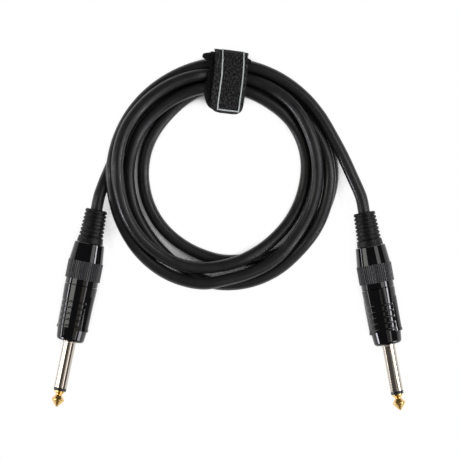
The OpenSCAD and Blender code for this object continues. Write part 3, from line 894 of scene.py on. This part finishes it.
def lay_upper_layer(width, thick):
    """The strap's layer over the outer end, with the flap that lies on the bundle, and its fuzz."""
    edges = flap_edges(-width / 2, width / 2)
    flap = strip("tie_flap_strap", FLAP_START, FLAP_END, edges, flap_grow, corner=FLAP_CORNER)
    uneven(flap, **FLAP_WAVES)
    thicken(flap, thick)
    finish_tie_piece(flap, "strap")
    peels(flap)
    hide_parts("tie_outer_layer", "tie_flap")
    flap_fuzz = fuzz("tie_flap_fuzz", *FLAP_FRAYED, edges, flap_grow, thick, count=170)
    finish_tie_piece(flap_fuzz, "strap")
    peels(flap_fuzz)
    return flap, flap_fuzz


def sew_label(thick):
    """The plain woven label on the upper layer."""
    label = strip(
        "tie_label_cloth", LABEL_START, LABEL_END, flap_edges(*LABEL_SIDES),
        lambda distance: LABEL_LIFT + thick, across=16, ragged=0)
    uneven(label, **FLAP_WAVES)
    thicken(label, LABEL_THICK)
    finish_tie_piece(label, "label")
    peels(label)
    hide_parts("tie_label")
    return label


def sew_borders(thick):
    """The label's pale border, along both its sides and its end."""
    left, right = LABEL_SIDES
    lines = [
        ("tie_label_left_line", LABEL_START, LABEL_END, left, left + LINE_WIDTH),
        ("tie_label_right_line", LABEL_START, LABEL_END, right - LINE_WIDTH, right),
        ("tie_label_end_line", LABEL_END - LINE_WIDTH, LABEL_END, left, right),
    ]
    borders = []
    for name, start, end, line_left, line_right in lines:
        line = strip(
            name, start, end, flap_edges(line_left, line_right), lambda distance: LINE_LIFT + thick,
            across=max(4, round((line_right - line_left) / LINE_FACE)), step=0.25, ragged=0.03)
        uneven(line, **FLAP_WAVES)
        thicken(line, LINE_THICK)
        finish_tie_piece(line, "line")
        peels(line)
        borders.append(line)
    return borders


def sew_hook_tape(width):
    """The hook tape under the flap."""
    side = width / 2 - TAPE_MARGIN
    patch = strip("tie_hook_tape", *TAPE, flap_edges(-side, side), lambda distance: TAPE_LIFT, ragged=0)
    thicken(patch, TAPE_THICK)
    finish_tie_piece(patch, "hooks")
    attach(patch, "tie_flap")
    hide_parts("tie_hook_patch")
    return patch


class CABLE_OT_wrap_tie(bpy.types.Operator):
    """Wraps the strap round the coil, with its flap and label on top"""

    bl_idname = "cable.wrap_tie"
    bl_label = "Wrap the tie"

    def execute(self, context):
        settings = context.scene.cable_tie
        width, thick = settings.width / MM, settings.thickness / MM
        inner, inner_fuzz = wrap_inner_layer(width, thick)
        flap, flap_fuzz = lay_upper_layer(width, thick)
        label = sew_label(thick)
        borders = sew_borders(thick)
        patch = sew_hook_tape(width)
        return {"FINISHED"}


# ---- Stage ------------------------------------------------------------------


class CABLE_OT_set_camera(bpy.types.Operator):
    """Puts the camera straight above the cable"""

    bl_idname = "cable.set_camera"
    bl_label = "Set the camera"

    def execute(self, context):
        settings = context.scene.cable_stage
        camera = bpy.data.objects.new("camera", bpy.data.cameras.new("camera"))
        context.scene.collection.objects.link(camera)
        camera.data.lens = settings.lens
        camera.data.clip_end = 20
        distance = settings.view_width * settings.lens / camera.data.sensor_width
        x, y, z = VIEW_AT
        camera.location = (x * MM, y * MM, z * MM + distance)
        context.scene.camera = camera
        return {"FINISHED"}


# Softboxes either side, with lengths in metres: (x, height), (nearest y, furthest y), how high the panel
# is, its brightness and its colour.
LAMPS = {
    "left low strip": ((-0.95, 0.055), (-0.08, 0.18), 0.08, 12, (0.93, 0.92, 1)),
    "left panel": ((-0.76, 0.565), (-0.08, 0.18), 0.54, 3.4, (0.97, 1, 0.9)),
    "left far strip": ((-0.81, 0.09), (-0.28, -0.12), 0.12, 3.5, (1, 1, 1)),
    "left corner box": ((-0.82, 0.13), (-0.62, -0.33), 0.22, 17, (0.91, 0.9, 1)),
    "right strip": ((0.854, 0.43), (-0.05, 0.14), 0.17, 14, (0.95, 0.94, 1)),
    "right panel": ((0.605, 0.73), (-0.02, 0.6), 0.42, 2.4, (1, 1, 1)),
    "right ceiling": ((0.36, 0.86), (-0.75, -0.08), 0.5, 0.6, (1, 0.9, 0.76)),
    "right far strip": ((0.513, 0.68), (-0.7, -0.1), 0.14, 2.6, (0.95, 0.94, 1)),
    "right corner box": ((0.76, 0.25), (-0.66, -0.38), 0.4, 7, (0.93, 0.92, 1)),
}


def lamp(name, place, reach, height, brightness, colour):
    """A rectangular softbox that faces the cable from its side. Brightness is what a mirror shows."""
    data = bpy.data.lights.new(name, "AREA")
    data.shape = "RECTANGLE"
    data.size, data.size_y = reach[1] - reach[0], height
    data.energy = brightness * math.pi * data.size * height
    data.color = colour
    made = bpy.data.objects.new(name, data)
    bpy.context.scene.collection.objects.link(made)
    made.location = (place[0], sum(reach) / 2, place[1])
    made.rotation_euler = Vector((-place[0], 0, -place[1])).to_track_quat("-Z", "Y").to_euler()


def floor_finish(colour):
    """A matt floor that shows plain white to the camera and to mirrors, except close round the cable, where
    it keeps the cable's shadow."""
    ground = Shader("Floor")
    ground.set(Base_Color=colour, Roughness=0.9, Specular_IOR_Level=0.1)
    glow = ground.add("ShaderNodeEmission")
    rays = ground.add("ShaderNodeLightPath").outputs
    seen = math_node(ground.tree, "MAXIMUM", rays["Is Camera Ray"], rays["Is Glossy Ray"])
    open_air = ground.add("ShaderNodeAmbientOcclusion", samples=8)
    open_air.inputs["Distance"].default_value = SHADE_REACH
    clear = range_node(ground.tree, open_air.outputs["AO"], *SHADE_AIR, kind="SMOOTHSTEP")
    share = math_node(ground.tree, "MULTIPLY", seen, clear)
    show_both(ground.tree, share, ground.surface.outputs[0], glow.outputs[0], "Material Output")
    return ground.material


def light_room(world):
    """A dim room, white to the camera, and to mirrors and glass where they look below the horizon."""
    world.use_nodes = True
    tree = world.node_tree
    room = tree.nodes["Background"]
    room.inputs["Color"].default_value = (*ROOM_COLOUR, 1)
    white = tree.nodes.new("ShaderNodeBackground")
    white.inputs["Strength"].default_value = 1
    white.inputs["Color"].default_value = (1, 1, 1, 1)
    rays = tree.nodes.new("ShaderNodeLightPath").outputs
    place = tree.nodes.new("ShaderNodeTexCoord")
    split = tree.nodes.new("ShaderNodeSeparateXYZ")
    tree.links.new(place.outputs["Generated"], split.inputs[0])
    below = math_node(tree, "LESS_THAN", split.outputs["Z"], HORIZON)
    mirrored = math_node(tree, "MAXIMUM", rays["Is Glossy Ray"], rays["Is Transmission Ray"])
    dimmed = math_node(tree, "SUBTRACT", ROOM_LIGHT, math_node(tree, "MULTIPLY", mirrored, MIRRORS_LESS))
    tree.links.new(dimmed, room.inputs["Strength"])
    seen = math_node(tree, "MAXIMUM", rays["Is Camera Ray"], math_node(tree, "MULTIPLY", mirrored, below))
    show_both(tree, seen, room.outputs[0], white.outputs[0], "World Output")


class CABLE_OT_set_stage(bpy.types.Operator):
    """Makes the floor, the world and the lamps"""

    bl_idname = "cable.set_stage"
    bl_label = "Set the stage"

    def execute(self, context):
        scene = context.scene
        bpy.ops.object.select_all(action="DESELECT")
        bpy.ops.mesh.primitive_plane_add(size=6, location=(0, 0, 0))
        floor = context.object
        floor.name = "floor"
        floor.data.materials.append(floor_finish(scene.cable_stage.floor))
        scene.world = bpy.data.worlds.new("world")
        light_room(scene.world)
        for name, values in LAMPS.items():
            lamp(name, *values)
        scene.view_settings.view_transform = "Standard"
        return {"FINISHED"}


# ---- Add-on -----------------------------------------------------------------


class CABLE_PT_panel(bpy.types.Panel):
    """Lists the steps that build the cable"""

    bl_label = "Instrument cable"
    bl_idname = "CABLE_PT_panel"
    bl_space_type = "VIEW_3D"
    bl_region_type = "UI"
    bl_category = "Cable"

    def draw(self, context):
        for step in STEPS:
            self.layout.operator(step.bl_idname)


STEPS = (CABLE_OT_set_camera, CABLE_OT_lay_cord, CABLE_OT_dress_plugs, CABLE_OT_wrap_tie, CABLE_OT_set_stage)
SETTINGS = {
    "cable_cord": CordSettings,
    "cable_plug": PlugSettings,
    "cable_tie": TieSettings,
    "cable_stage": StageSettings,
}


def register():
    for made in (*SETTINGS.values(), *STEPS, CABLE_PT_panel):
        bpy.utils.register_class(made)
    for name, kind in SETTINGS.items():
        setattr(bpy.types.Scene, name, PointerProperty(type=kind))


def unregister():
    for name in SETTINGS:
        delattr(bpy.types.Scene, name)
    for made in reversed((*SETTINGS.values(), *STEPS, CABLE_PT_panel)):
        bpy.utils.unregister_class(made)


def main():
    register()
    for step in STEPS:
        group, name = step.bl_idname.split(".")
        getattr(getattr(bpy.ops, group), name)()


if __name__ == "__main__":
    main()
